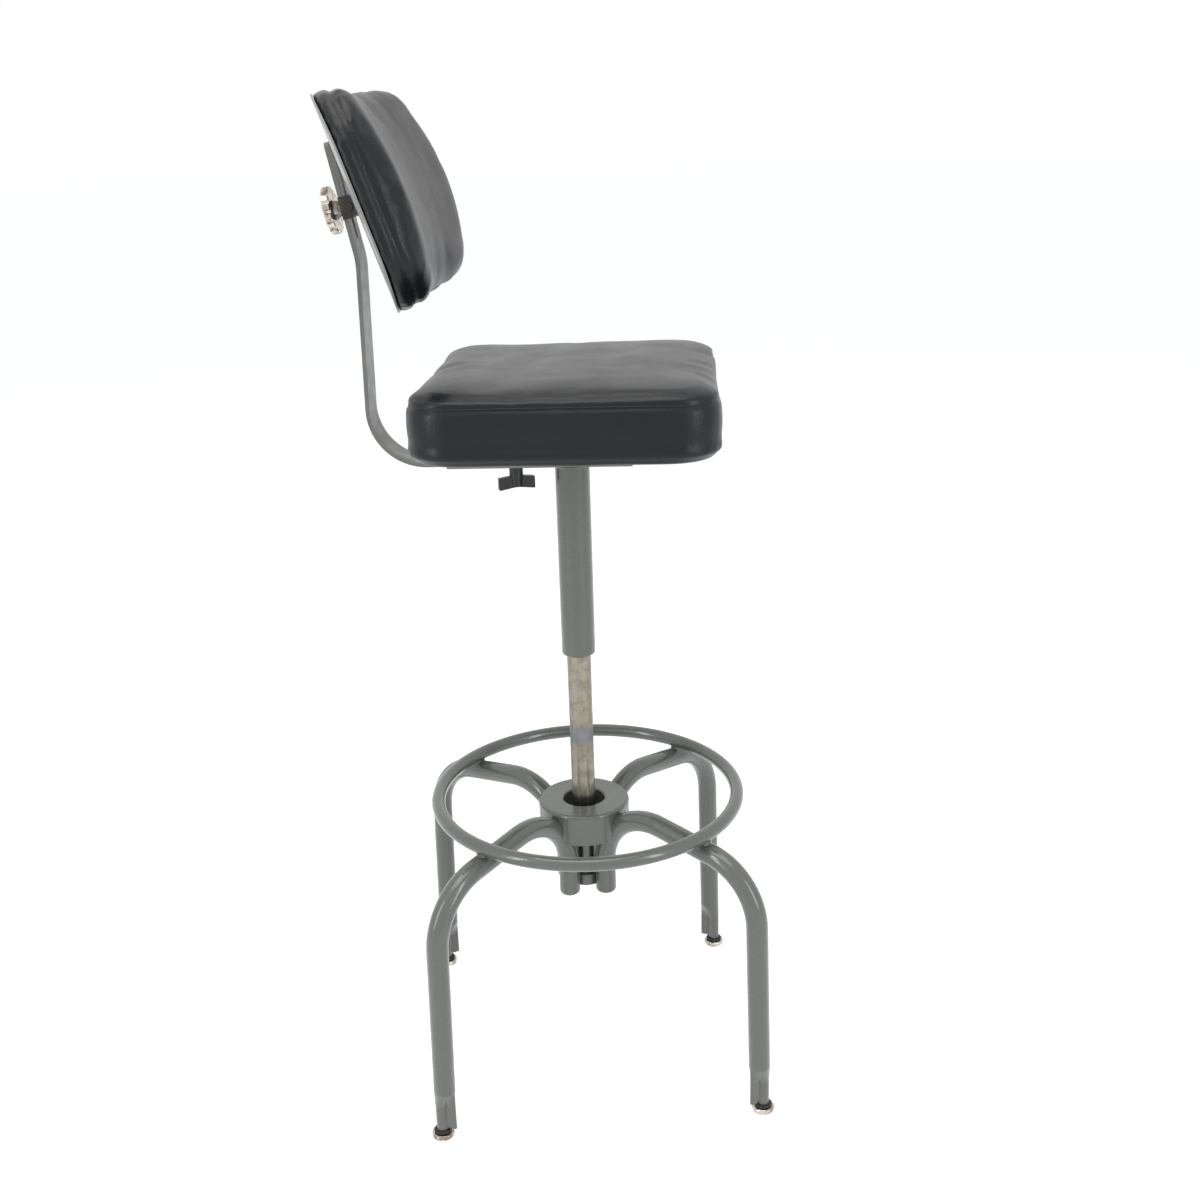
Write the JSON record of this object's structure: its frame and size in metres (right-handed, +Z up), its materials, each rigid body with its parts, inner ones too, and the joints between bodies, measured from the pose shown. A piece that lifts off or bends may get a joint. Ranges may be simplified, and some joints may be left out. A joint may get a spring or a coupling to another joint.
{
  "type": "machinist stool",
  "caption": "Tall height-adjustable swivel stool on a four-legged tubular base with a foot ring, a padded seat and an adjustable padded backrest.",
  "frame": {"origin": "on the floor, on the axis of the spindle, at the middle of the square of glides", "axes": "+Z up along the spindle; -Y towards the front edge of the seat, +Y towards the backrest; +X towards the sitter's left"},
  "size_m": [0.4472, 0.4919, 1.1818],
  "materials": {
    "frame_paint": "gloss grey-green enamel",
    "bare_steel": "drawn steel, lightly tarnished",
    "black_plastic": "moulded, fine texture",
    "plywood": "raw plywood",
    "vinyl": "black upholstery vinyl, semi-gloss, fine grain",
    "black_steel": "black oxide",
    "pan_steel": "light grey enamel",
    "plated": "bright nickel plate",
    "black_rubber": "moulded rubber"
  },
  "bodies": {
    "base": {"hub": "frame_paint", "hub_collar": "frame_paint", "foot_collar": "frame_paint", "foot_ring": "frame_paint", "ring_welds": "frame_paint", "centre_post": "bare_steel", "post_head": "bare_steel", "latch_pin": "bare_steel", "leg_rear_left": "frame_paint", "leg_rear_right": "frame_paint", "leg_front_right": "frame_paint", "leg_front_left": "frame_paint", "glide_bases": "plated", "glide_rubbers": "black_rubber", "glide_stems": "bare_steel"},
    "latch": {"latch_pawl": "bare_steel"},
    "lift": {"lower_bush": "black_plastic"},
    "carrier": {"seat_tube": "frame_paint", "height_sleeve": "bare_steel", "seat_bracket": "frame_paint", "seat_spider": "frame_paint", "clamp_nut": "bare_steel", "seat_board": "plywood", "tee_nuts": "bare_steel", "seat_screws": "bare_steel", "seat_cushion": "vinyl"},
    "arm": {"back_arm": "frame_paint"},
    "wing_clamp": {"wing_washer": "bare_steel"},
    "wing": {"wing_knob": "black_plastic", "wing_bolt": "bare_steel"},
    "block": {"pivot_block": "black_steel"},
    "star_clamp": {"star_washer": "bare_steel"},
    "star": {"star_knob": "plated", "star_stud": "bare_steel"},
    "backrest": {"backrest_bracket": "black_steel", "pivot_pins": "black_steel", "backrest_pan": "pan_steel", "backrest_board": "plywood", "bracket_screws": "black_steel", "backrest_cushion": "vinyl"}
  },
  "joints": [
    {"name": "seat_height", "type": "slide", "parent": "base", "child": "lift", "axis": [0, 0, 1], "range_m": [-0.127, 0.0254]},
    {"name": "seat_swivel", "type": "hinge", "parent": "lift", "child": "carrier", "pos_m": [0, 0, 0.765], "axis": [0, 0, 1], "continuous": true},
    {"name": "latch", "type": "hinge", "parent": "base", "child": "latch", "pos_m": [0, -0.003, 0.6105], "axis": [1, 0, 0], "range_deg": [-8, 0], "stiffness_Nm_per_rad": 0.05, "springref_deg": 20.05},
    {"name": "arm_depth", "type": "slide", "parent": "carrier", "child": "arm", "axis": [0, 1, 0], "range_m": [-0.038, 0.025]},
    {"name": "wing_turn", "type": "hinge", "parent": "wing_clamp", "child": "wing", "pos_m": [0, 0.065, 0.755], "axis": [0, 0, -1], "range_deg": [0, 720]},
    {"name": "wing_feed", "type": "slide", "parent": "carrier", "child": "wing_clamp", "axis": [0, 0, -1], "range_m": [0, 0.0025]},
    {"name": "backrest_height", "type": "slide", "parent": "arm", "child": "block", "axis": [0, 0.1942, 0.981], "range_m": [-0.028, 0.044]},
    {"name": "backrest_tilt", "type": "hinge", "parent": "block", "child": "backrest", "pos_m": [0, 0.22926, 1.05665], "axis": [1, 0, 0], "range_deg": [-2, 15]},
    {"name": "star_turn", "type": "hinge", "parent": "star_clamp", "child": "star", "pos_m": [0, 0.23662, 1.05519], "axis": [0, 0.981, -0.1942], "range_deg": [0, 720]},
    {"name": "star_feed", "type": "slide", "parent": "block", "child": "star_clamp", "axis": [0, 0.981, -0.1942], "range_m": [0, 0.0025]}
  ],
  "couplings": [
    {"joint": "wing_turn", "follows": "wing_feed", "rad_per_m": 5026.5},
    {"joint": "star_turn", "follows": "star_feed", "rad_per_m": 5026.5}
  ]
}
